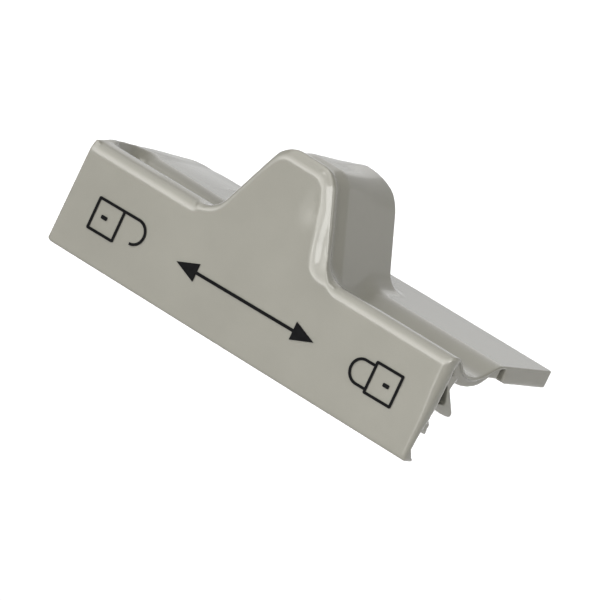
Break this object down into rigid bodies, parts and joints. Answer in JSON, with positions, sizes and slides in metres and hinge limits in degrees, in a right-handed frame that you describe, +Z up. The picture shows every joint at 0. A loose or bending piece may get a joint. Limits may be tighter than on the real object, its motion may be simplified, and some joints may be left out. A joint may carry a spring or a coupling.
{
  "type": "stair gate slide latch",
  "caption": "Slide latch for a stair gate: a moulded cover with a thumb hump rides on a guide base and drives a round bolt, with padlock marks for the two positions.",
  "frame": {"origin": "middle of the underside, in the plane where the guide base rests on the gate rail", "axes": "+X along the rail, the way the cover slides to lock; +Y from the user's side to the back; +Z up"},
  "size_m": [0.12, 0.0514, 0.0539],
  "materials": {
    "cover_plastic": "glossy warm light grey moulded ABS",
    "base_plastic": "satin mid grey moulded nylon",
    "nylon": "natural white acetal, low friction",
    "black_ink": "pad-printed black ink, about a tenth of a millimetre thick",
    "bolt_steel": "ground and zinc plated",
    "screw_steel": "zinc plated",
    "spring_steel": "blue-grey spring temper",
    "insert_brass": "turned, with a knurled outside"
  },
  "bodies": {
    "base": {"guide_base": "base_plastic", "bottom_plate": "base_plastic", "bolt_bush": "nylon", "detent_spring": "spring_steel", "detent_screw": "screw_steel", "plate_screw_1": "screw_steel", "plate_screw_2": "screw_steel", "plate_screw_3": "screw_steel", "plate_screw_4": "screw_steel", "thread_insert_1": "insert_brass", "thread_insert_2": "insert_brass"},
    "slider": {"slide_cover": "cover_plastic", "unlocked_padlock": "black_ink", "unlocked_keyhole": "black_ink", "slide_arrow": "black_ink", "locked_padlock": "black_ink", "locked_keyhole": "black_ink", "drive_block": "nylon", "locking_bolt": "bolt_steel", "bolt_pin": "bolt_steel"}
  },
  "joints": [
    {"name": "cover_slide", "type": "slide", "parent": "base", "child": "slider", "axis": [1, 0, 0], "range_m": [0, 0.014], "deforming": ["detent_spring"]}
  ]
}
